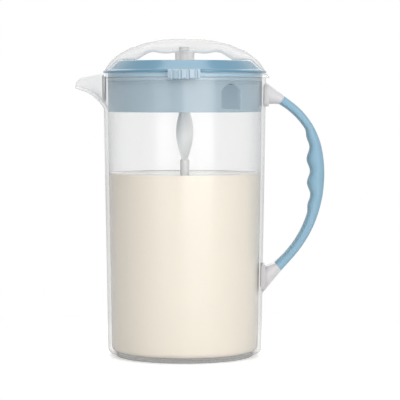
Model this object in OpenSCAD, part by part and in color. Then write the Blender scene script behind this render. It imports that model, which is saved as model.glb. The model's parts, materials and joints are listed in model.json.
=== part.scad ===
// Formula pitcher. A tall clear jug with a beak spout and a side handle holds a lid with a deep
// stopper collar, whose pour windows line up with the spout when the lid is turned. An arched
// handle on the lid turns the mixing blades inside.
// The origin is the centre of the base. The spout points to -X, the side handle to +X, and the
// lid's thumb tab to -Y.

/* [Jug] */
// Height of the jug's rim
jug_h = 194.4; // [188:0.2:200]
// Outer radius of the wall at the rim
rim_r = 56; // [54:0.5:58]
// Outer radius of the wall above the foot
base_r = 53; // [51:0.5:54]
// Thickness of the wall
wall = 2.6; // [2.2:0.1:2.8]
// Thickness of the floor
floor_t = 3.2; // [2.6:0.1:5]
// Radius of the foot
foot_r = 47.3; // [44:0.1:49]
// Height of the foot
foot_h = 2.2; // [1.5:0.1:2.8]

/* [Spout] */
// Distance from the jug's axis to the tip of the beak
spout_reach = 74.9; // [73:0.1:78]
// Width of the beak where it leaves the wall
spout_root_w = 36; // [30:1:40]
// Width of the beak at its tip
spout_tip_w = 12; // [10:1:16]
// Thickness of the beak
spout_wall = 1.9; // [1.6:0.1:2.2]

/* [Side handle] */
// Width of the grip across the hand
grip_w = 19; // [16:1:22]
// Number of finger notches
notches = 3; // [0:1:3]
// Depth of each finger notch
notch_depth = 2.2; // [1:0.1:2.8]
// Width of the pads where the handle meets the wall
pad_w = 24; // [20:1:28]

/* [Lid] */
// Height of the lid's flat top above the rim
lid_rise = 8.6; // [8:0.1:9]
// Width of the thumb tab
tab_w = 21.6; // [16:0.2:26]
// Number of grooves in the thumb tab
tab_grooves = 4; // [2:1:6]

/* [Stopper collar] */
// Depth that the collar reaches below the rim
collar_drop = 26.4; // [24:0.2:30]
// Running gap between the collar and the jug
collar_gap = 0.45; // [0.4:0.05:0.6]
// Width of a pour window
window_w = 16.5; // [12:0.5:18]
// Height of a pour window
window_h = 17.2; // [14:0.2:18]
// Angle from the thumb tab to the first pour window
window_turn = 37; // [30:1:45]

/* [Turning handle] */
// Height of the arch above the lid's flat top
arch_rise = 15.6; // [15:0.1:17.5]
// Width of the arch at the post, front to back
arch_w = 15; // [13:0.5:18]
// Diameter of the post
post_d = 13.2; // [12:0.2:15]

/* [Mixer] */
// Diameter of the drive shaft
shaft_d = 8; // [7:0.5:9]
// Width of the upper twisted blade
leaf_w = 11.9; // [10:0.1:14]
// Twist of the upper blade
leaf_twist = 164; // [90:1:180]
// Width of the lower twisted blade
paddle_w = 34; // [24:1:60]
// Diameter of the tube between the blades
tube_d = 6.4; // [6:0.1:8]

/* [Hidden] */

blue = [0.56, 0.72, 0.80];
grip_blue = [0.54, 0.71, 0.80];
clear = [0.90, 0.91, 0.92, 0.45];
frosted = [0.86, 0.87, 0.88, 0.8];
silicone = [0.80, 0.86, 0.89];
white = [0.88, 0.88, 0.88];

$fn = 96;
tiny = 0.01;

// Jug: the wall widens evenly from the foot to the rim.
corner_r = 3;
wall_foot_z = foot_h + corner_r;
wall_slope = (rim_r - base_r) / (jug_h - wall_foot_z);
lip_r = rim_r + 2.4;
lip_z = jug_h - 2.5;
function wall_r(z) = base_r + (z - wall_foot_z) * wall_slope;
function bore_r(z) = wall_r(z) - wall;

// Lid: every height is stacked on the rim.
seat_gap = 0.3;
lid_z = jug_h + seat_gap;
plateau_z = jug_h + lid_rise;
plateau_r = rim_r - 10;
bevel_r = rim_r - 5.8;
bevel_turn = 43;
recess_z = plateau_z - 1.6;
boss_z = plateau_z - 0.8;
collar_r = bore_r(jug_h - collar_drop) - collar_gap - 1.95;
skirt_r = collar_r - 0.1;
bush_r = 7;
shaft_r = shaft_d / 2;
seal_z = jug_h - 0.4;
bush_z = seal_z + 2.2;
bush_top = boss_z + 0.8;
clip_z = seal_z - 2.1;
clip_t = 1;
push_fit = 0.03;
tab_r = lip_r + 3.6;
tab_spread = 2 * asin(tab_w / 2 / tab_r);

// Side handle: the outside starts where the upper bracket leaves the wall, the inside at the
// lower edge of that bracket. Each is a chain of arcs, as [radius, turn], and straight runs,
// as [0, length].
handle_top = [56.2, jug_h - 6.3];
handle_legs = [[0, 22.1], [54.4, 43.4], [89.3, 30], [82.9, 21.6], [0, 33]];
handle_heading = 36.8;
palm_top = [65, jug_h - 21.1];
palm_legs = [[54.4, 24.7], [8.3, 33.7], [0, 52.9], [6, 18.2], [71, 33]];
palm_heading = 30.5;
grip_from = 15.4;
grip_short = 20.7;
notch_pitch = 16.4;
notch_top = jug_h - 42.3;
handle_foot = [wall_r(43), jug_h - 151.5];
upper_pad = [jug_h - 22.6, jug_h - 7.8];
lower_pad = [jug_h - 148.8, jug_h - 131.1];
pad_out = 1.5;

// Beak: its underside is an arc that hollows outwards.
beak_r = 27.6;
beak_centre = [-spout_reach - 4.5, jug_h - 38];
nose = 6;
nose_drop = 4.6;

// Points of a chain of arcs and straights. The heading is in degrees below +X.
function leg_end(p, h, leg) = leg[0] == 0
    ? p + leg[1] * [cos(h), -sin(h)]
    : p + leg[0] * [sin(h + leg[1]) - sin(h), cos(h + leg[1]) - cos(h)];
function leg_heading(h, leg) = leg[0] == 0 ? h : h + leg[1];
function leg_length(leg) = leg[0] == 0 ? leg[1] : leg[0] * leg[1] * PI / 180;
function chain_length(legs, k = 0) =
    k == len(legs) ? 0 : leg_length(legs[k]) + chain_length(legs, k + 1);
function along(p, h, legs, s, k = 0) =
    let (run = leg_length(legs[k]))
    s <= run || k == len(legs) - 1
        ? leg_end(p, h, [legs[k][0], legs[k][1] * s / run])
        : along(leg_end(p, h, legs[k]), leg_heading(h, legs[k]), legs, s - run, k + 1);

// Points of a round corner in a profile.
function corner(centre, r, from, to, n = 6) =
    [for (i = [0 : n]) centre + r * [cos(from + (to - from) * i / n), sin(from + (to - from) * i / n)]];

// A signed power, for sections between an ellipse and a rectangle.
function bulge(v, k) = sign(v) * pow(abs(v), k);

// A ring of points round two opposite edge points of a bar that is w wide along Y.
function bar_section(far, near, w, k = 0.75, m = 16) =
    let (mid = (far + near) / 2, half = (far - near) / 2)
    [for (j = [0 : m - 1])
        let (a = 360 * j / m, p = mid + half * bulge(cos(a), k))
        [p[0], w / 2 * bulge(sin(a), k), p[1]]];

// A skin over rings that all have the same number of points.
module loft(rings) {
    m = len(rings[0]);
    last = len(rings) - 1;
    polyhedron(
        points = [for (ring = rings) each ring],
        faces = concat(
            [[for (j = [m - 1 : -1 : 0]) j]],
            [for (i = [0 : last - 1], j = [0 : m - 1]) [i * m + j, i * m + (j + 1) % m, (i + 1) * m + j]],
            [for (i = [0 : last - 1], j = [0 : m - 1])
                [i * m + (j + 1) % m, (i + 1) * m + (j + 1) % m, (i + 1) * m + j]],
            [[for (j = [0 : m - 1]) last * m + j]]
        )
    );
}

// ---- Jug ----

function beak_under(x, extra = 0) =
    beak_centre[1] + sqrt(max(0, pow(beak_r + extra, 2) - pow(x - beak_centre[0], 2)));
function beak_nose(x) = max(0, min(1, (-x - spout_reach + nose) / nose));
function beak_fall(x) = 1 - sqrt(1 - pow(beak_nose(x), 2));
function beak_top(x) = jug_h - 0.3 - 0.18 * max(0, -x - rim_r) - nose_drop * beak_fall(x);
function beak_half(x) =
    let (t = max(0, min(1, (spout_reach + x) / (spout_reach - rim_r))))
    (spout_tip_w + (spout_root_w - spout_tip_w) * pow(t, 1.2)) / 2 * (1 - 0.3 * beak_fall(x));

// A U-shaped ring of the beak at x, from its flat top round its belly.
function beak_ring(x, top, half, under, m = 20) =
    [for (j = [0 : m - 1])
        let (a = 180 * j / (m - 1))
        [x, half * bulge(cos(a), 0.8), top - (top - under) * bulge(sin(a), 0.8)]];

module beak() {
    first = -spout_reach;
    steps = 16;
    loft([for (i = [0 : steps])
        let (x = first + (spout_reach - rim_r + 6) * pow(i / steps, 1.5))
        beak_ring(x, beak_top(x), beak_half(x), beak_under(x))]);
}

module beak_channel() {
    first = -spout_reach - 1;
    steps = 12;
    loft([for (i = [0 : steps])
        let (x = first + (spout_reach - rim_r + 8) * i / steps, edge = max(x, -spout_reach))
        beak_ring(x, jug_h + 2, beak_half(edge) - spout_wall, beak_under(edge, spout_wall))]);
}

module jug_outside() {
    rotate_extrude()
        polygon(concat(
            [[0, 0]],
            corner([foot_r - 0.8, 0.8], 0.8, -90, 0, 3),
            [[foot_r, foot_h]],
            corner([base_r - corner_r, wall_foot_z], corner_r, -90, 0),
            [
                [wall_r(lip_z - 0.8), lip_z - 0.8],
                [lip_r - 0.3, lip_z - 0.5],
                [lip_r, lip_z - 0.2],
                [lip_r, lip_z + 0.2],
                [rim_r + 1.1, lip_z + 0.9],
                [rim_r + 0.5, jug_h - 0.4],
                [rim_r + 0.1, jug_h],
                [0, jug_h]
            ]
        ));
}

module jug_bore() {
    inner_corner = 4;
    low_r = bore_r(floor_t + inner_corner);
    rotate_extrude()
        polygon(concat(
            [[0, floor_t]],
            corner([low_r - inner_corner, floor_t + inner_corner], inner_corner, -90, 0),
            [
                [bore_r(jug_h - 0.5), jug_h - 0.5],
                [bore_r(jug_h) + 0.5, jug_h + tiny],
                [bore_r(jug_h) + 0.5, jug_h + 5],
                [0, jug_h + 5]
            ]
        ));
}

module pitcher_body() {
    color(clear)
        difference() {
            union() {
                jug_outside();
                beak();
            }
            jug_bore();
            beak_channel();
        }
}

// ---- Side handle ----

grip_run = chain_length(handle_legs) - grip_short - grip_from;
palm_run = chain_length(palm_legs);

function back_point(f) = along(handle_top, handle_heading, handle_legs, grip_from + f * grip_run);
function palm_point(f) = along(palm_top, palm_heading, palm_legs, f * palm_run);
function notch_at(z) =
    let (t = (notch_top - z) / notch_pitch)
    t > 0 && t < notches ? notch_depth * (1 - cos(360 * t)) / 2 : 0;
function grip_width(f) = grip_w - 3 * pow(2 * f - 1, 2);
function grip_ring(f, share = 1) =
    let (far = back_point(f), rough = palm_point(f), near = rough + [notch_at(rough[1]) * share, 0],
         mid = (far + rough) / 2)
    share == 1
        ? bar_section(far, near, grip_width(f))
        : bar_section(mid + (far - mid) * share, mid + (rough - mid) * share, grip_width(f) * share);

// The bar inside the grip reaches a little way into both brackets.
module handle_core() {
    steps = 24;
    loft([for (i = [0 : steps + 1]) grip_ring((i - 0.5) / steps, 0.5)]);
}

module grip_outside() {
    steps = 66;
    loft([for (i = [0 : steps]) grip_ring(i / steps)]);
}

// A bracket runs between two pairs of edge points. Its near side bows by the given amount.
module bracket(far_a, near_a, w_a, far_b, near_b, w_b, bow) {
    steps = 6;
    loft([for (i = [0 : steps])
        let (t = i / steps, ease = t * t * (3 - 2 * t))
        bar_section(far_a + (far_b - far_a) * t,
                    near_a + (near_b - near_a) * t + [0, bow * sin(180 * t)],
                    w_a + (w_b - w_a) * ease)]);
}

// A pad is a rounded plate between two heights, whose back is sunk in the wall.
module pad(heights, out) {
    r = 3;
    h = heights[1] - heights[0];
    translate([rim_r - 8, 0, (heights[0] + heights[1]) / 2])
        rotate([90, 0, 90])
        linear_extrude(out - rim_r + 8)
        union() {
            square([pad_w, h - 2 * r], center = true);
            square([pad_w - 2 * r, h], center = true);
            for (sx = [-1, 1], sy = [-1, 1])
                translate([sx * (pad_w / 2 - r), sy * (h / 2 - r)])
                circle(r);
        }
}

// A point past b, seen from a.
function past(a, b, d) = b + d / norm(b - a) * (b - a);

// The brackets and pads start inside the wall and are cut to its outside.
module handle_frame() {
    root_w = pad_w - 4;
    sunk = 4;
    upper_near = past(palm_top, [wall_r(upper_pad[0]), upper_pad[0] + 0.6], sunk);
    lower_near = past(palm_point(1), [wall_r(lower_pad[1]), lower_pad[1] - 1.2], sunk);
    color(frosted)
        union() {
            handle_core();
            difference() {
                union() {
                    pad(upper_pad, wall_r(upper_pad[1]) + pad_out);
                    pad(lower_pad, wall_r(lower_pad[0]) + pad_out);
                    bracket(past(back_point(0), handle_top, sunk), upper_near, root_w,
                            back_point(0), palm_top, grip_width(0), 0.7);
                    bracket(back_point(1), palm_point(1), grip_width(1),
                            past(back_point(1), handle_foot, sunk), lower_near, root_w, -0.6);
                }
                translate([0, 0, wall_foot_z])
                    cylinder(h = jug_h - wall_foot_z, r1 = base_r, r2 = rim_r);
            }
        }
}

module handle_grip() {
    color(grip_blue)
        difference() {
            grip_outside();
            handle_core();
        }
}

// ---- Lid ----

gasket_z = jug_h - 5.6;
gasket_h = 3;
groove_r = bore_r(gasket_z) - collar_gap - 1.1;

module lid_gasket() {
    outer = bore_r(gasket_z) - 0.12;
    inner = groove_r + 0.06;
    color(silicone)
        rotate_extrude()
        polygon([
            [inner, gasket_z + 0.1],
            [outer - 0.35, gasket_z + 0.1],
            [outer, gasket_z + 0.5],
            [outer - 0.4, gasket_z + gasket_h / 2],
            [outer, gasket_z + gasket_h - 0.5],
            [outer - 0.35, gasket_z + gasket_h - 0.1],
            [inner, gasket_z + gasket_h - 0.1]
        ]);
}

module lid_shell() {
    rotate_extrude()
        polygon(concat(
            [
                [bush_r, boss_z],
                [13, boss_z],
                [14, recess_z],
                [plateau_r - 7.5, recess_z],
                [plateau_r - 5.9, plateau_z]
            ],
            corner([plateau_r - 1.2, plateau_z - 1.2], 1.2, 90, 90 - bevel_turn, 4),
            corner([bevel_r + 4.6, plateau_z - 1.8], 5.2, 270 - bevel_turn, 262, 5),
            [
                [rim_r - 0.1, lid_z + 1.5],
                [rim_r + 0.1, lid_z + 1.2],
                [rim_r + 0.1, lid_z + 0.3],
                [rim_r - 0.2, lid_z],
                [skirt_r, lid_z],
                [skirt_r, lid_z - 7],
                [skirt_r - 0.6, lid_z - 7.6],
                [skirt_r - 1.8, lid_z - 7.6],
                [skirt_r - 1.8, plateau_z - 6],
                [plateau_r - 3, plateau_z - 2.3],
                [plateau_r - 5, plateau_z - 2.3],
                [plateau_r - 6.6, recess_z - 2.2],
                [bush_r + 5, recess_z - 2.2],
                [bush_r + 3, recess_z - 4],
                [bush_r + 3, seal_z - 0.8],
                [shaft_r + 1, seal_z - 0.8],
                [shaft_r + 1, seal_z],
                [bush_r, seal_z]
            ]
        ));
}

module thumb_tab() {
    difference() {
        rotate([0, 0, -90 - tab_spread / 2])
            rotate_extrude(angle = tab_spread)
            polygon([
                [rim_r - 2.2, lid_z + 0.1],
                [lip_r + 0.5, lid_z - 0.2],
                [lip_r + 0.5, lid_z - 3.8],
                [lip_r + 1, lid_z - 4.4],
                [tab_r - 0.6, lid_z - 4.4],
                [tab_r, lid_z - 3.8],
                [tab_r, lid_z + 1],
                [tab_r - 0.9, lid_z + 1.8],
                [rim_r - 0.6, lid_z + 1.8],
                [rim_r - 2.2, lid_z + 1.5]
            ]);
        for (i = [0 : tab_grooves - 1])
            rotate([0, 0, -90 + tab_spread * ((i + 0.5) / tab_grooves - 0.5)])
            translate([tab_r + 0.35, 0, lid_z - 6])
            cylinder(h = 10, r = 1.25, $fn = 24);
    }
}

module lid_cap() {
    color(blue)
        difference() {
            union() {
                lid_shell();
                thumb_tab();
            }
            for (side = [-1, 1])
                rotate([0, 0, -90 + side * (tab_spread / 2 + 0.9)])
                translate([rim_r - 0.9, -0.7, lid_z - 1])
                cube([4, 1.4, 4]);
        }
}

// A pour window has upright sides and a low arched top.
module window_shape() {
    rise = 5.2;
    arch_r = (pow(window_w / 2, 2) + rise * rise) / (2 * rise);
    half_angle = asin(window_w / 2 / arch_r);
    polygon(concat(
        [[-window_w / 2, 0], [window_w / 2, 0]],
        corner([0, window_h - arch_r], arch_r, 90 - half_angle, 90 + half_angle, 12)
    ));
}

module stopper_collar() {
    low = jug_h - collar_drop;
    color(blue)
        difference() {
            rotate_extrude()
                polygon([
                    [collar_r, low + 0.5],
                    [collar_r + 0.5, low],
                    [bore_r(low) - collar_gap - 0.5, low],
                    [bore_r(low) - collar_gap, low + 0.5],
                    [bore_r(gasket_z) - collar_gap, gasket_z],
                    [groove_r, gasket_z],
                    [groove_r, gasket_z + gasket_h],
                    [bore_r(gasket_z + gasket_h) - collar_gap, gasket_z + gasket_h],
                    [bore_r(jug_h) - collar_gap, jug_h],
                    [bore_r(jug_h) - collar_gap, lid_z],
                    [collar_r, lid_z]
                ]);
            for (half = [0, 180])
                rotate([0, 0, -90 + window_turn + half])
                translate([collar_r - 4, 0, low + 2.1])
                rotate([90, 0, 90])
                linear_extrude(10)
                window_shape();
        }
}

module shaft_bushing() {
    color(white)
        rotate_extrude()
        polygon([
            [shaft_r + 0.06, bush_z],
            [bush_r, bush_z],
            [bush_r, boss_z],
            [bush_r + 2.4, boss_z],
            [bush_r + 2.4, bush_top - 0.3],
            [bush_r + 2.1, bush_top],
            [shaft_r + 0.6, bush_top],
            [shaft_r + 0.06, bush_top - 0.5]
        ]);
}

module shaft_seal() {
    color(silicone)
        rotate_extrude()
        polygon([
            [shaft_r + 0.5, seal_z],
            [bush_r, seal_z],
            [bush_r, bush_z],
            [shaft_r + 0.5, bush_z],
            [shaft_r + 0.05, bush_z - 0.4],
            [shaft_r + 0.05, bush_z - 0.7],
            [shaft_r + 0.6, (seal_z + bush_z) / 2],
            [shaft_r + 0.05, seal_z + 0.7],
            [shaft_r + 0.05, seal_z + 0.4]
        ]);
}

// ---- Turning handle ----

post_z = bush_top + 0.2;
crown_z = plateau_z + arch_rise;
crown_legs = [[189, 3.7], [76, 21.4], [33.5, 33.2], [0, 2.2]];
finger_z = plateau_z + 6.7;
finger_heading = 8.3;
finger_legs = [
    [0, 9.6], [-25, -21.7], [10.3, 45.4], [0, 6.1], [-5.2, -32],
    [0, 10.1], [1.7, bevel_turn], [0, 7.6], [-4.8, -35]
];
socket_top = crown_z - 6;

function crown_point(f) = along([0, crown_z], 0, crown_legs, f * chain_length(crown_legs));
function finger_point(f) = along([0, finger_z], finger_heading, finger_legs, f * chain_length(finger_legs));
function flip_x(p, side) = [p[0] * side, p[1]];

module arch() {
    steps = 44;
    loft([for (i = [-steps : steps])
        let (f = abs(i) / steps, side = i < 0 ? -1 : 1)
        bar_section(flip_x(crown_point(f), side), flip_x(finger_point(f), side),
                    arch_w + 5 * sin(180 * min(1, f * 0.85)), 0.7)]);
}

// The drive shaft has a flat on both ends, so that it turns what it is pushed into.
module flatted_shaft(z, h, fit = 0) {
    r = shaft_r + fit;
    difference() {
        translate([0, 0, z])
            cylinder(h = h, r = r);
        translate([shaft_r * 0.7 + fit, -r, z - 1])
            cube([r, 2 * r, h + 2]);
    }
}

module turning_handle() {
    flare_r = post_d / 2 + 1.5;
    flare_z = finger_z - 2.4;
    color(frosted)
        difference() {
            union() {
                arch();
                rotate_extrude()
                    polygon(concat(
                        [[0, post_z], [post_d / 2 - 0.4, post_z], [post_d / 2, post_z + 0.4]],
                        corner([post_d / 2 + 2.8, flare_z], 2.8, 180, 130, 5),
                        [
                            [flare_r, flare_z + 3.4],
                            [flare_r - 1.2, flare_z + 5],
                            [flare_r - 4, flare_z + 6],
                            [0, flare_z + 6.3]
                        ]
                    ));
            }
            flatted_shaft(post_z - 1, socket_top - post_z + 1, push_fit);
        }
}

module drive_shaft() {
    foot = clip_z - 11;
    mid_from = clip_z - 1;
    mid_to = post_z;
    color(white)
        difference() {
            union() {
                translate([0, 0, mid_from])
                    cylinder(h = mid_to - mid_from, r = shaft_r);
                flatted_shaft(foot, mid_from - foot + tiny);
                flatted_shaft(mid_to - tiny, socket_top - mid_to + tiny);
            }
            translate([0, 0, clip_z])
                difference() {
                    cylinder(h = clip_t, r = shaft_r + 1);
                    translate([0, 0, -1])
                        cylinder(h = clip_t + 2, r = shaft_r - 0.8);
                }
        }
}

// The clip is an open ring that snaps into the shaft's groove under the lid.
module retaining_clip() {
    color("silver")
        difference() {
            translate([0, 0, clip_z])
                cylinder(h = clip_t, r = shaft_r + 2.2);
            translate([0, 0, clip_z - 1])
                cylinder(h = clip_t + 2, r = shaft_r - 0.8);
            translate([0, -1.6, clip_z - 1])
                cube([shaft_r + 4, 3.2, clip_t + 2]);
        }
}

// ---- Mixer ----

hub_top = clip_z - 1.2;
leaf_top = hub_top - 13;
leaf_foot = jug_h - 59.2;
leaf_face_z = jug_h - 39.4;
plug_r = 1.9;
tube_foot = 66;
paddle_foot = 16;

// A lens-shaped bar from z = 0 up, which twists clockwise as it rises, seen from above.
module twisted_blade(w, t, h, twist, steps, m = 16) {
    loft([for (i = [steps : -1 : 0])
        [for (j = [0 : m - 1])
            let (a = 360 * j / m, turn = -twist * i / steps, x = w / 2 * cos(a), y = t / 2 * bulge(sin(a), 0.9))
            [x * cos(turn) - y * sin(turn), x * sin(turn) + y * cos(turn), h * i / steps]]]);
}

module mixing_blade() {
    face_turn = leaf_twist * (leaf_face_z - leaf_foot) / (leaf_top - leaf_foot);
    color(white)
        difference() {
            union() {
                translate([0, 0, leaf_top - 3])
                    cylinder(h = hub_top - leaf_top + 3, r = shaft_r + 1.9);
                translate([0, 0, leaf_top - 6])
                    cylinder(h = 3 + tiny, r1 = shaft_r - 1, r2 = shaft_r + 1.9);
                translate([0, 0, leaf_foot])
                    rotate([0, 0, face_turn])
                    twisted_blade(leaf_w, 2.6, leaf_top - leaf_foot - 1, leaf_twist, 32);
                translate([0, 0, leaf_foot - 9])
                    cylinder(h = 10, r = plug_r, $fn = 32);
            }
            flatted_shaft(clip_z - 11, 20, push_fit);
        }
}

module mixer_tube() {
    color(white)
        difference() {
            translate([0, 0, tube_foot])
                cylinder(h = leaf_foot - tube_foot, r = tube_d / 2, $fn = 48);
            translate([0, 0, tube_foot - 1])
                cylinder(h = leaf_foot - tube_foot + 2, r = plug_r, $fn = 32);
        }
}

module lower_blade() {
    color(white)
        union() {
            translate([0, 0, paddle_foot])
                rotate([0, 0, 60])
                twisted_blade(paddle_w, 3, tube_foot - paddle_foot - 6, 120, 26);
            translate([0, 0, paddle_foot - 4])
                cylinder(h = tube_foot - paddle_foot + 4, r = tube_d / 2, $fn = 48);
            translate([0, 0, tube_foot - tiny])
                cylinder(h = 9, r = plug_r, $fn = 32);
        }
}

pitcher_body();
handle_frame();
handle_grip();
lid_gasket();
lid_cap();
stopper_collar();
shaft_bushing();
shaft_seal();
turning_handle();
drive_shaft();
retaining_clip();
mixing_blade();
mixer_tube();
lower_blade();
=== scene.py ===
"""Formula pitcher: finishes for every part, the jug's contents, soft studio light and a camera."""
import json
import math

import bmesh
import bpy
from bpy.props import FloatProperty, FloatVectorProperty, PointerProperty
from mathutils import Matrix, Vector

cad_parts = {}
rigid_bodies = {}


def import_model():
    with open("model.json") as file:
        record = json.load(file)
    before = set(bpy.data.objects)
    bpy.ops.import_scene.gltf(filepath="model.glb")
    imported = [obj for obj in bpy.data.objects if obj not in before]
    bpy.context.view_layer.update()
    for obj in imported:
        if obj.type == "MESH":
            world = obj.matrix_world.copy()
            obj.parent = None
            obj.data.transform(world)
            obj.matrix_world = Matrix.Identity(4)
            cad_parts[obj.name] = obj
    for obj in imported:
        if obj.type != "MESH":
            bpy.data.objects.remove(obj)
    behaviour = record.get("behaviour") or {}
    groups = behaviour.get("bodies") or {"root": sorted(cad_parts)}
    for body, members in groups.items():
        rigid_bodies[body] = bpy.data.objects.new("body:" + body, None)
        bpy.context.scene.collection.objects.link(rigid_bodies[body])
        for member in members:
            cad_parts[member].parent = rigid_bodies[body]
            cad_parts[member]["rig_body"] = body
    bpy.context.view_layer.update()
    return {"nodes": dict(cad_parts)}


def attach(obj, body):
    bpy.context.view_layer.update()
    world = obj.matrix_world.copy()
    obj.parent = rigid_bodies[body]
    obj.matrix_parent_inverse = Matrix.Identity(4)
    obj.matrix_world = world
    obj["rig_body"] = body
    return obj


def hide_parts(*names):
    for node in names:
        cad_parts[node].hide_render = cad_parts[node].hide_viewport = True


bl_info = {
    "name": "Formula Pitcher",
    "version": (1, 0, 0),
    "blender": (4, 5, 0),
    "location": "View3D > Sidebar > Pitcher",
    "description": "Dresses a formula pitcher with its finishes, contents, light and camera",
    "category": "Object",
}

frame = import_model()
MM = 0.001

# The jug's wall, as the solids have it: its outer radius at the rim and just above the foot, the
# height of the latter, and how much the radius grows with the height.
RIM_R = 56 * MM
BASE_R = 53 * MM
BASE_Z = 5.2 * MM
WALL_LEAN = 0.015856

# The photograph is 400 pixels square. At the jug's axis a pixel is PIXEL wide.
PHOTO_SIZE = 400
PIXEL = 0.69 * MM
AXIS_COLUMN = 184.8
FLOOR_ROW = 355.5

# The camera's distance from the jug's axis and its height, which is that of the collar.
CAMERA_DISTANCE = 1.35
EYE_HEIGHT = 0.178

# The height that the lamps point at.
LIT_HEIGHT = 0.10

WHITE = (1.0, 1.0, 1.0)


def linear(code):
    """The linear colour of a hexadecimal sRGB code such as "a3bfcd"."""
    parts = [int(code[i:i + 2], 16) / 255 for i in (0, 2, 4)]
    return tuple(c / 12.92 if c <= 0.04045 else ((c + 0.055) / 1.055) ** 2.4 for c in parts)


def shade(colour, factor):
    """A colour made darker, or lighter where the factor is above 1, but not past white."""
    return tuple(min(1.0, c * factor) for c in colour)


# ---------------------------------------------------------------- shader expressions


class Value:
    """A shader socket that takes part in Python expressions."""

    def __init__(self, tree, socket):
        self.tree = tree
        self.socket = socket

    def _math(self, operation, first, second):
        node = self.tree.nodes.new("ShaderNodeMath")
        node.operation = operation
        feed(self.tree, node.inputs[0], first)
        feed(self.tree, node.inputs[1], second)
        return Value(self.tree, node.outputs[0])

    def __add__(self, other):
        return self._math("ADD", self, other)

    def __radd__(self, other):
        return self._math("ADD", other, self)

    def __sub__(self, other):
        return self._math("SUBTRACT", self, other)

    def __rsub__(self, other):
        return self._math("SUBTRACT", other, self)

    def __mul__(self, other):
        return self._math("MULTIPLY", self, other)

    def __rmul__(self, other):
        return self._math("MULTIPLY", other, self)

    def __pow__(self, other):
        return self._math("POWER", self, other)


def feed(tree, socket, value):
    """Links a Value to a socket, or sets the socket to a plain number, colour or vector."""
    if isinstance(value, Value):
        tree.links.new(value.socket, socket)
    elif hasattr(value, "__len__") and len(value) == 3 and len(socket.default_value) == 4:
        socket.default_value = (*value, 1.0)
    else:
        socket.default_value = value


class Finish:
    """A material under construction."""

    def __init__(self, name):
        self.material = bpy.data.materials.new(name)
        self.material.use_nodes = True
        self.tree = self.material.node_tree
        self.tree.nodes.clear()

    def node(self, kind, settings=None, inputs=None, output=0):
        """Adds a node, with its settings first and then its sockets, and returns one output."""
        made = self.tree.nodes.new("ShaderNode" + kind)
        for name, value in (settings or {}).items():
            setattr(made, name, value)
        for name, value in (inputs or {}).items():
            feed(self.tree, made.inputs[name], value)
        return Value(self.tree, made.outputs[output])

    def place(self):
        """Object coordinates, which are metres in the part's own frame."""
        return self.node("TexCoord", output="Object")

    def axis(self, letter):
        """One of the object coordinates."""
        return self.node("SeparateXYZ", inputs={0: self.place()}, output=letter)

    def radius(self):
        """The distance from the jug's axis."""
        flat = self.node("VectorMath", {"operation": "MULTIPLY"}, {0: self.place(), 1: (1, 1, 0)})
        return self.node("VectorMath", {"operation": "LENGTH"}, {0: flat}, output="Value")

    def cloud(self, size, detail=2.0):
        """Soft noise from 0 to 1 whose blotches are about size across."""
        return self.node(
            "TexNoise", inputs={"Vector": self.place(), "Scale": 1 / size, "Detail": detail})

    def band(self, value, start, end):
        """0 below start, 1 above end and smooth between them, or falling if start is above end."""
        return self.node("MapRange", {"interpolation_type": "SMOOTHSTEP"},
                         {"Value": value, "From Min": start, "From Max": end})

    def blend(self, factor, first, second):
        """A colour between two others."""
        return self.node("Mix", {"data_type": "RGBA"}, {0: factor, 6: first, 7: second}, output=2)

    def relief(self, height, distance):
        """A normal that follows a height from 0 to 1, which stands for distance."""
        return self.node("Bump", inputs={"Height": height, "Distance": distance, "Strength": 1.0})

    def mix(self, factor, first, second):
        """A shader between two others."""
        return self.node("MixShader", inputs={0: factor, 1: first, 2: second})

    def surface(self, shader):
        """Ends the material in this shader and returns it."""
        end = self.tree.nodes.new("ShaderNodeOutputMaterial")
        self.tree.links.new(shader.socket, end.inputs["Surface"])
        return self.material


# ---------------------------------------------------------------- kinds of plastic


def moulded(name, colour, roughness, grain=0.5 * MM, depth=0.004 * MM, metallic=0.0, through=0.0):
    """A moulded surface: faint clouding of the colour, uneven gloss and a fine grain. A share of
    the light may soak through it."""
    f = Finish(name)
    body = f.node("BsdfPrincipled", inputs={
        "Base Color": f.blend(f.cloud(18 * MM), shade(colour, 0.96), colour),
        "Roughness": roughness - 0.04 + 0.08 * f.cloud(3 * MM),
        "Metallic": metallic,
        "Normal": f.relief(f.cloud(grain, detail=3), depth),
    })
    if through:
        body = f.mix(through, body, f.node("BsdfTranslucent", inputs={"Color": colour}))
    return f.surface(body)


def see_through(name, colour, zones, roughness, face_on, edge_on, curve, haze=0.03, soaked=0.0):
    """Clear plastic: a polished skin over a body that shows its face_on share where it is seen
    straight on and its edge_on share at its edges. The zones change the body's colour and its
    share where the plastic is thicker or thinner, and in places they paint shade and light into
    that colour."""
    f = Finish(name)
    facing = f.node("LayerWeight", inputs={"Blend": 0.5}, output="Facing")
    share = face_on + (edge_on - face_on) * facing ** curve + haze * f.cloud(40 * MM)
    shown, share = zones(f, colour, share, facing)
    body = f.node("BsdfPrincipled", inputs={
        "Base Color": shown,
        "Roughness": roughness + 0.05 * f.cloud(12 * MM),
        "Specular IOR Level": 0.2,
    })
    if soaked:
        body = f.mix(soaked, body, f.node("BsdfTranslucent", inputs={"Color": colour}))
    open_air = f.node("BsdfTransparent", inputs={"Color": shade(WHITE, 0.98)})
    skin = f.node("BsdfGlossy", inputs={"Color": shade(WHITE, 0.8), "Roughness": 0.2})
    mirrored = 0.03 + 0.45 * facing ** 5
    clear = f.mix(mirrored, open_air, skin)
    return f.surface(f.mix(share, clear, body))


# ---------------------------------------------------------------- finishes


def clear_polished(colour):
    """The clear jug."""
    return see_through("clear polished", colour, jug_zones, roughness=0.3, face_on=0.015,
                       edge_on=0.42, curve=3.0, haze=0.01)


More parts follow.
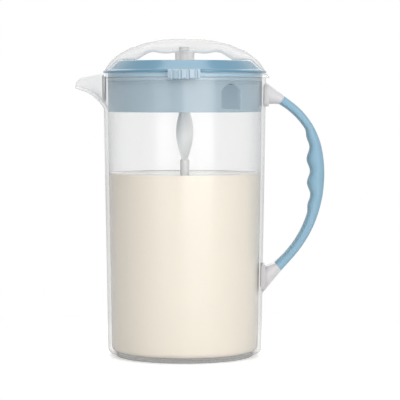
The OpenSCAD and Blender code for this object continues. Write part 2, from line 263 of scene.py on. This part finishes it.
def jug_zones(f, colour, share, facing):
    """The solid foot shows its thickness. The body also shows, painted darker, where the spout
    leaves the wall and along the bottom edge of the foot: painted shade for the dark lines there.
    The lip bends the light round itself and shows only at its very edge, where its colour is
    painted darker too, as painted shade."""
    past_rim, z = -RIM_R - f.axis("X"), f.axis("Z")
    spout = f.band(past_rim, 0.5 * MM, 3 * MM)
    # Painted shade: a dark line where the spout leaves the wall.
    root_depth = f.band(past_rim, -1.4 * MM, -1.0 * MM) * f.band(past_rim, 0.2 * MM, -0.1 * MM)
    root = root_depth * f.band(z, 172 * MM, 178 * MM) * f.band(z, 193.5 * MM, 192.5 * MM)
    foot = f.band(z, 3.4 * MM, 2.2 * MM)
    # Painted shade: a dark line along the bottom edge of the foot.
    sole_shade = f.band(z, 1.3 * MM, 0.7 * MM)
    lip = f.band(z, 186 * MM, 188.5 * MM) * (1 - f.band(past_rim, -6 * MM, -2 * MM))
    share = share * (1 - lip) + 0.35 * lip * facing ** 5
    share = share + 0.4 * spout * facing ** 2 + 0.7 * root + 0.12 * foot + 0.25 * sole_shade
    # The darker colour is painted shade, at the spout's joint, the foot's bottom edge and the lip.
    return f.blend(0.8 * root + 0.4 * sole_shade + 0.5 * lip, colour, shade(colour, 0.42)), share


def mixed_formula(colour, top):
    """Milk, matt where it lies against the wall and smooth as a mirror where it lies open."""
    f = Finish("mixed formula")
    open_top = f.band(f.axis("Z"), top - 0.8 * MM, top - 0.1 * MM)
    return f.surface(f.node("BsdfPrincipled", inputs={
        "Base Color": f.blend(f.cloud(60 * MM), shade(colour, 0.985), colour),
        "Roughness": 0.42 + 0.05 * f.cloud(30 * MM) - 0.37 * open_top,
        "IOR": 1.35,
    }))


def translucent_moulded(colour):
    """The side handle's frame, nearly opaque."""
    return see_through("translucent moulded", colour, pad_zones, roughness=0.25, face_on=0.82,
                       edge_on=0.95, curve=2.0)


def pad_zones(f, colour, share, facing):
    """Little light reaches the side handle's pads, which lie against the wall, so their colour is
    painted darker, as painted shade, and they show a little more body.
    """
    pad_shade = f.band(f.radius(), RIM_R + 2.2 * MM, RIM_R + 0.8 * MM)
    # The pads' darker colour is painted shade.
    return f.blend(0.75 * pad_shade, colour, shade(colour, 0.75)), share + 0.1 * pad_shade


def soft_overmould(colour):
    """The side handle's soft grip, with a coarser grain."""
    return moulded("soft overmould", colour, roughness=0.5, grain=0.4 * MM, depth=0.01 * MM)


def satin_lid(colour):
    """Blue polypropylene under a soft gloss. The tab and the thin brim are painted paler and made
    glossier: partly the paler blue of thin plastic that lets more light through, partly a painted
    highlight for the glints on the tab's facets.
    """
    f = Finish("satin lid")
    # The tab and the brim, which get the paler colour: part painted highlight.
    thin = f.band(f.radius(), RIM_R + 0.8 * MM, RIM_R + 2.5 * MM)
    deep = f.blend(f.cloud(18 * MM), shade(colour, 0.96), colour)
    # Painted highlight colour for the tab and brim, partly the paler blue of thin plastic.
    pale = tuple(0.45 * c + 0.5 for c in colour)
    return f.surface(f.node("BsdfPrincipled", inputs={
        "Base Color": f.blend(0.55 * thin, deep, pale),
        "Roughness": 0.28 + 0.08 * f.cloud(3 * MM) - 0.08 * thin,
        "Normal": f.relief(f.cloud(0.8 * MM, detail=3), 0.002 * MM),
        "Coat Weight": 0.5,
        "Coat Roughness": 0.16,
    }))


def satin_collar(colour):
    """Thin blue polypropylene. The light inside it soaks through, except at the top, where it is
    thick and its blue is deeper."""
    f = Finish("satin collar")
    thick = f.band(f.axis("Z"), 190 * MM, 191.5 * MM)
    thin_side = f.blend(f.cloud(18 * MM), shade(colour, 0.96), colour)
    thick_top = (colour[0] * 0.75, colour[1] * 0.88, colour[2] * 0.95)
    body = f.node("BsdfPrincipled", inputs={
        "Base Color": f.blend(thick, thin_side, thick_top),
        "Roughness": 0.31 + 0.08 * f.cloud(3 * MM),
        "Normal": f.relief(f.cloud(0.5 * MM, detail=3), 0.004 * MM),
    })
    soaked = f.node("BsdfTranslucent", inputs={"Color": colour})
    return f.surface(f.mix(0.6 - 0.5 * thick, body, soaked))


def translucent_silicone():
    """The gasket and the shaft's seal."""
    return moulded("translucent silicone", linear("c3d8e4"), roughness=0.4, through=0.2)


def white_plastic(name):
    """The bush and the shaft that turns in it, each with a material of its own."""
    return moulded(name, linear("e2e2e0"), roughness=0.4)


def translucent_arch(colour):
    """The turning handle, frosted only a little."""
    return see_through("translucent arch", colour, arch_zones, roughness=0.12, face_on=0.25,
                       edge_on=0.95, curve=2.5, soaked=0.25)


def arch_zones(f, colour, share, facing):
    """The post is thick, so it shows more than the rest, and its colour is painted lighter:
    painted light that offsets the shade inside it. The arch's ends are thin.
    """
    post = f.band(f.radius(), 9.5 * MM, 8.5 * MM) * f.band(f.axis("Z"), 212 * MM, 208 * MM)
    ends = f.band(f.radius(), 40 * MM, 46 * MM)
    # The post's lighter colour is painted light.
    return f.blend(post, colour, shade(colour, 1.15)), share * (1 - 0.3 * ends) + 0.3 * post


def stainless_spring():
    """The clip in the shaft's groove."""
    return moulded("stainless spring", linear("c4c6c8"), roughness=0.3, metallic=1.0)


def blade_plastic(colour):
    """The blades and the tube between them."""
    return moulded("blade plastic", colour, roughness=0.35, through=0.1)


# ---------------------------------------------------------------- sizes and colours


class PitcherSizes(bpy.types.PropertyGroup):
    contents_top: FloatProperty(
        name="Contents height", description="Height of the contents' surface above the base",
        default=125.6 * MM, unit="LENGTH")
    wall: FloatProperty(
        name="Wall", description="Thickness of the jug's wall",
        default=2.6 * MM, unit="LENGTH")
    floor: FloatProperty(
        name="Floor", description="Thickness of the jug's floor",
        default=3.2 * MM, unit="LENGTH")


class PitcherColours(bpy.types.PropertyGroup):
    jug: FloatVectorProperty(
        name="Jug", description="Body colour of the clear jug",
        subtype="COLOR", default=linear("dfe1e2"))
    contents: FloatVectorProperty(
        name="Contents", description="Colour of the mixed formula",
        subtype="COLOR", default=linear("fbf2e3"))
    lid: FloatVectorProperty(
        name="Lid", description="Colour of the lid",
        subtype="COLOR", default=linear("588ca6"))
    collar: FloatVectorProperty(
        name="Collar", description="Colour of the stopper collar",
        subtype="COLOR", default=linear("dae9f1"))
    grip: FloatVectorProperty(
        name="Grip", description="Colour of the soft grip",
        subtype="COLOR", default=linear("88aec3"))
    frame: FloatVectorProperty(
        name="Handle frame", description="Colour of the side handle's frame",
        subtype="COLOR", default=linear("dedcde"))
    arch: FloatVectorProperty(
        name="Turning handle", description="Colour of the arched handle",
        subtype="COLOR", default=linear("f0ece9"))
    blade: FloatVectorProperty(
        name="Mixer", description="Colour of the mixing blades",
        subtype="COLOR", default=linear("f6f6f5"))


# ---------------------------------------------------------------- modelling


def new_piece(bm, name):
    """Turns a bmesh into an object at the origin."""
    mesh = bpy.data.meshes.new(name)
    bm.to_mesh(mesh)
    bm.free()
    piece = bpy.data.objects.new(name, mesh)
    bpy.context.scene.collection.objects.link(piece)
    return piece


def own_material(piece, material):
    """Puts one material on every face of a piece."""
    piece.data.materials.clear()
    piece.data.materials.append(material)


def shade_smooth(bm, angle):
    """Shades a mesh smooth except over edges that turn by an angle in degrees or more."""
    limit = math.radians(angle)
    for face in bm.faces:
        face.smooth = True
    for edge in bm.edges:
        edge.smooth = len(edge.link_faces) == 2 and edge.calc_face_angle(0) < limit


def finished_node(node, name, material, smooth_below):
    """Replaces a CAD node by a copy of it that has its loose triangles merged, its edges below an
    angle shaded smooth and its own finish."""
    source = frame["nodes"][node]
    bm = bmesh.new()
    bm.from_mesh(source.data)
    bmesh.ops.remove_doubles(bm, verts=bm.verts, dist=0.002 * MM)
    shade_smooth(bm, smooth_below)
    piece = new_piece(bm, name)
    own_material(piece, material)
    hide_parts(node)
    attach(piece, source["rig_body"])


def spun(profile):
    """Revolves a line of (radius, height) points that starts and ends on the Z axis."""
    bm = bmesh.new()
    verts = [bm.verts.new((r, 0, z)) for r, z in profile]
    edges = [bm.edges.new(pair) for pair in zip(verts, verts[1:])]
    bmesh.ops.spin(bm, geom=verts + edges, cent=(0, 0, 0), axis=(0, 0, 1), angle=math.tau,
                   steps=128, use_merge=True, use_duplicate=False)
    bmesh.ops.remove_doubles(bm, verts=bm.verts, dist=0.001 * MM)
    bmesh.ops.recalc_face_normals(bm, faces=bm.faces)
    return bm


def contents_profile(sizes):
    """The contents fill the jug but for a hair's breadth, with a round corner at the floor, and
    climb a little at the wall."""
    gap = 0.15 * MM
    corner = 4 * MM
    corner_steps = 6
    low, top = sizes.floor + gap, sizes.contents_top

    def bore(z):
        return BASE_R + (z - BASE_Z) * WALL_LEAN - sizes.wall - gap

    centre = bore(low + corner) - corner
    profile = [(0.0, low)]
    for i in range(corner_steps + 1):
        turn = math.radians(90 * i / corner_steps)
        profile.append((centre + corner * math.sin(turn), low + corner - corner * math.cos(turn)))
    edge = bore(top)
    profile += [(edge, top + 0.5 * MM), (edge - 0.4 * MM, top + 0.1 * MM), (edge - 1.4 * MM, top)]
    profile.append((0.0, top))
    return profile


# ---------------------------------------------------------------- operators


class PITCHER_OT_jug(bpy.types.Operator):
    """Finish the clear jug"""
    bl_idname = "pitcher.jug"
    bl_label = "Jug"

    def execute(self, context):
        colours = context.scene.pitcher_colours
        clear = clear_polished(tuple(colours.jug))
        finished_node("pitcher_body", "clear_jug", clear, smooth_below=35)
        return {"FINISHED"}


class PITCHER_OT_contents(bpy.types.Operator):
    """Fill the jug with mixed formula"""
    bl_idname = "pitcher.contents"
    bl_label = "Contents"

    def execute(self, context):
        sizes, colours = context.scene.pitcher_sizes, context.scene.pitcher_colours
        bm = spun(contents_profile(sizes))
        shade_smooth(bm, 40)
        contents = new_piece(bm, "formula")
        own_material(contents, mixed_formula(tuple(colours.contents), sizes.contents_top))
        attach(contents, "pitcher")
        return {"FINISHED"}


class PITCHER_OT_side_handle(bpy.types.Operator):
    """Finish the side handle's frame and its soft grip"""
    bl_idname = "pitcher.side_handle"
    bl_label = "Side handle"

    def execute(self, context):
        colours = context.scene.pitcher_colours
        frosted = translucent_moulded(tuple(colours.frame))
        finished_node("handle_frame", "side_handle_frame", frosted, smooth_below=40)
        soft = soft_overmould(tuple(colours.grip))
        finished_node("handle_grip", "soft_finger_grip", soft, smooth_below=40)
        return {"FINISHED"}


class PITCHER_OT_lid(bpy.types.Operator):
    """Finish the lid, its collar, gasket, seal and bush"""
    bl_idname = "pitcher.lid"
    bl_label = "Lid"

    def execute(self, context):
        colours = context.scene.pitcher_colours
        finished_node("lid_cap", "blue_lid", satin_lid(tuple(colours.lid)), smooth_below=30)
        collar = satin_collar(tuple(colours.collar))
        finished_node("stopper_collar", "blue_collar", collar, smooth_below=30)
        silicone = translucent_silicone()
        finished_node("lid_gasket", "seal_ring", silicone, smooth_below=50)
        finished_node("shaft_seal", "lip_seal", silicone, smooth_below=50)
        white = white_plastic("white bearing plastic")
        finished_node("shaft_bushing", "lid_bush", white, smooth_below=35)
        return {"FINISHED"}


class PITCHER_OT_mixer(bpy.types.Operator):
    """Finish the arched handle, the shaft, its clip, the mixing blades and their tube"""
    bl_idname = "pitcher.mixer"
    bl_label = "Mixer"

    def execute(self, context):
        colours = context.scene.pitcher_colours
        arch = translucent_arch(tuple(colours.arch))
        finished_node("turning_handle", "arched_handle", arch, smooth_below=40)
        white = white_plastic("white shaft plastic")
        finished_node("drive_shaft", "flatted_shaft", white, smooth_below=35)
        finished_node("retaining_clip", "open_clip", stainless_spring(), smooth_below=35)
        blade = blade_plastic(tuple(colours.blade))
        finished_node("mixing_blade", "leaf_blade", blade, smooth_below=50)
        finished_node("mixer_tube", "stem_tube", blade, smooth_below=50)
        finished_node("lower_blade", "lower_paddle", blade, smooth_below=50)
        return {"FINISHED"}


class PITCHER_OT_stage(bpy.types.Operator):
    """Make the floor, the light and the camera"""
    bl_idname = "pitcher.stage"
    bl_label = "Stage"

    def execute(self, context):
        scene = context.scene
        scene.view_settings.view_transform = "Standard"
        make_floor()
        make_world(scene)
        make_lamp("key", place=(0.52, -1.43, 0.35), size=(1.3, 1.2), power=15)
        make_lamp("fill", place=(-0.9, -1.4, 0.3), size=(0.7, 1.0), power=2.5)
        make_lamp("top", place=(0.0, 0.0, 1.5), size=(0.8, 1.2), power=8)
        make_lamp("back", place=(0.0, 1.5, 0.75), size=(0.8, 0.6), power=4)
        make_camera(scene)
        return {"FINISHED"}


# ---------------------------------------------------------------- stage


def make_floor():
    """A pale floor that keeps the pitcher's shadow and fades to plain white away from it. The
    camera sees it a little lighter than it is lit."""
    bm = bmesh.new()
    bmesh.ops.create_circle(bm, cap_ends=True, segments=96, radius=3.0)
    floor = new_piece(bm, "floor")
    f = Finish("pale floor")
    camera_ray = f.node("LightPath", output="Is Camera Ray")
    lit = f.node("BsdfPrincipled", inputs={"Base Color": linear("f4f4f4"), "Roughness": 0.6})
    unlit = f.node("Emission", inputs={"Color": WHITE, "Strength": 0.0})
    lift = f.node("Emission", inputs={"Color": WHITE, "Strength": 0.35})
    near = f.node("AddShader", inputs={0: lit, 1: f.mix(camera_ray, unlit, lift)})
    white = f.node("Emission", inputs={"Color": WHITE, "Strength": 1.0})
    far = f.band(f.radius(), 0.08, 0.26)
    own_material(floor, f.surface(f.mix(far * camera_ray, near, white)))


def make_world(scene):
    """White where it is seen, mirrored or looked at through a wall, and dimmer as a light."""
    world = bpy.data.worlds.new("studio")
    world.use_nodes = True
    tree = world.node_tree
    tree.nodes.clear()
    path = tree.nodes.new("ShaderNodeLightPath")
    camera_ray, glossy_ray, transmission_ray = (
        Value(tree, path.outputs[f"Is {ray} Ray"]) for ray in ("Camera", "Glossy", "Transmission"))
    limit = tree.nodes.new("ShaderNodeClamp")
    feed(tree, limit.inputs["Value"], camera_ray + glossy_ray + transmission_ray)
    seen = Value(tree, limit.outputs[0])
    ambient = 0.39
    background = tree.nodes.new("ShaderNodeBackground")
    feed(tree, background.inputs["Color"], WHITE)
    feed(tree, background.inputs["Strength"], ambient + (1 - ambient) * seen)
    end = tree.nodes.new("ShaderNodeOutputWorld")
    tree.links.new(background.outputs[0], end.inputs["Surface"])
    scene.world = world


def make_lamp(name, place, size, power):
    """A rectangular lamp that points at the middle of the pitcher."""
    lamp = bpy.data.lights.new(name, "AREA")
    lamp.shape = "RECTANGLE"
    lamp.size, lamp.size_y = size
    lamp.energy = power
    add_aimed(name, lamp, Vector(place), Vector((0, 0, LIT_HEIGHT)))


def make_camera(scene):
    """Stands where the photograph was taken from, looks a little down and frames the pitcher as
    the photograph does."""
    middle = PHOTO_SIZE / 2
    aim = Vector(((middle - AXIS_COLUMN) * PIXEL, 0, (FLOOR_ROW - middle) * PIXEL))
    place = Vector((aim.x, -CAMERA_DISTANCE, EYE_HEIGHT))
    camera = bpy.data.cameras.new("camera")
    camera.sensor_width = 36
    camera.lens = camera.sensor_width * (aim - place).length / (PHOTO_SIZE * PIXEL)
    camera.clip_start, camera.clip_end = 0.01, 20
    scene.camera = add_aimed("camera", camera, place, aim)


def add_aimed(name, data, place, aim):
    """Puts a lamp or a camera at a place and turns it towards another."""
    holder = bpy.data.objects.new(name, data)
    holder.location = place
    holder.rotation_euler = (aim - place).to_track_quat("-Z", "Y").to_euler()
    bpy.context.scene.collection.objects.link(holder)
    return holder


# ---------------------------------------------------------------- panel and registration


class PITCHER_PT_panel(bpy.types.Panel):
    """Lists the pitcher's steps, sizes and colours"""
    bl_idname = "PITCHER_PT_panel"
    bl_label = "Formula Pitcher"
    bl_space_type = "VIEW_3D"
    bl_region_type = "UI"
    bl_category = "Pitcher"

    def draw(self, context):
        for step in STEPS:
            self.layout.operator(step.bl_idname)
        for group in (context.scene.pitcher_sizes, context.scene.pitcher_colours):
            column = self.layout.column()
            for name in group.bl_rna.properties.keys():
                if name not in ("rna_type", "name"):
                    column.prop(group, name)


STEPS = (
    PITCHER_OT_jug,
    PITCHER_OT_contents,
    PITCHER_OT_side_handle,
    PITCHER_OT_lid,
    PITCHER_OT_mixer,
    PITCHER_OT_stage,
)
CLASSES = (PitcherSizes, PitcherColours, *STEPS, PITCHER_PT_panel)


def register():
    for cls in CLASSES:
        bpy.utils.register_class(cls)
    bpy.types.Scene.pitcher_sizes = PointerProperty(type=PitcherSizes)
    bpy.types.Scene.pitcher_colours = PointerProperty(type=PitcherColours)


def unregister():
    del bpy.types.Scene.pitcher_sizes
    del bpy.types.Scene.pitcher_colours
    for cls in reversed(CLASSES):
        bpy.utils.unregister_class(cls)


def main():
    register()
    for step in STEPS:
        module, name = step.bl_idname.split(".")
        getattr(getattr(bpy.ops, module), name)()


if __name__ == "__main__":
    main()
